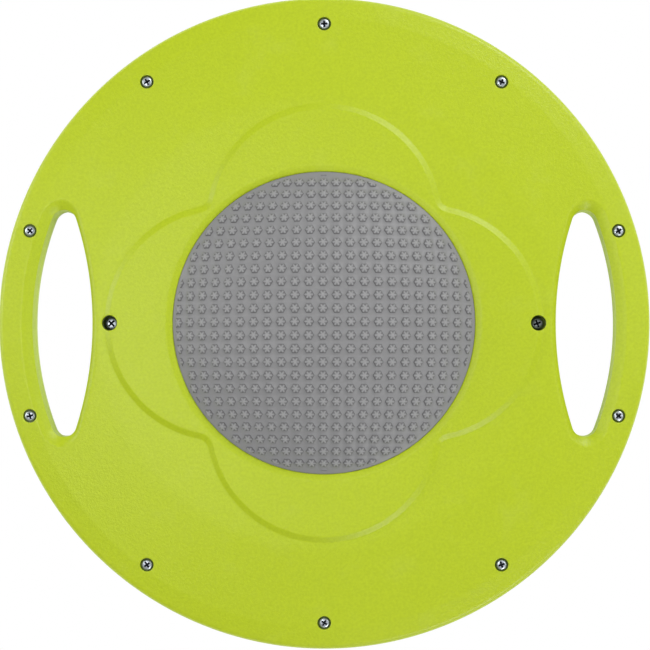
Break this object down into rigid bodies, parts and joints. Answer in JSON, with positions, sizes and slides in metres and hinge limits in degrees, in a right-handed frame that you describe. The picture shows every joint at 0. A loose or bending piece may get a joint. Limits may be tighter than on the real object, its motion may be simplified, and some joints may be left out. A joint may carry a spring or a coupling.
{
  "type": "balance board",
  "caption": "Round two-part moulded balance board with a hand slot at each side and a pimpled rubber rocker dome under it, shown lying on its standing face, dome up.",
  "frame": {"origin": "centre of the standing face, which is the lowest face as stored, on the axis of the rocker dome", "axes": "+Z out of the top of the rocker dome, as stored; +X through the middle of one hand slot; +Y along the handles. In use the board is turned over: -Z is up and the dome is on the floor."},
  "size_m": [0.3999, 0.4, 0.059],
  "materials": {
    "lime_plastic": "satin, finely grained moulded plastic in lime green",
    "dome_rubber": "matte mid-grey rubber covered in small six-sided pimples",
    "mat_rubber": "matte mid-grey rubber with a fine pimpled grip",
    "core_plastic": "plain natural-white moulded plastic, hidden inside",
    "zinc_steel": "bright zinc-plated steel with a slightly blue cast"
  },
  "bodies": {
    "root": {"deck": "lime_plastic", "deck_mat": "mat_rubber", "bottom_shell": "lime_plastic", "rocker_dome": "dome_rubber", "dome_core": "core_plastic", "rim_screw_1": "zinc_steel", "rim_screw_2": "zinc_steel", "rim_screw_3": "zinc_steel", "rim_screw_4": "zinc_steel", "rim_screw_5": "zinc_steel", "rim_screw_6": "zinc_steel", "handle_screw_1": "zinc_steel", "handle_screw_2": "zinc_steel", "handle_screw_3": "zinc_steel", "handle_screw_4": "zinc_steel", "inner_screw_right": "zinc_steel", "inner_screw_left": "zinc_steel", "core_screw_1": "zinc_steel", "core_screw_2": "zinc_steel", "core_screw_3": "zinc_steel", "core_screw_4": "zinc_steel", "core_screw_5": "zinc_steel", "core_screw_6": "zinc_steel"}
  },
  "joints": []
}
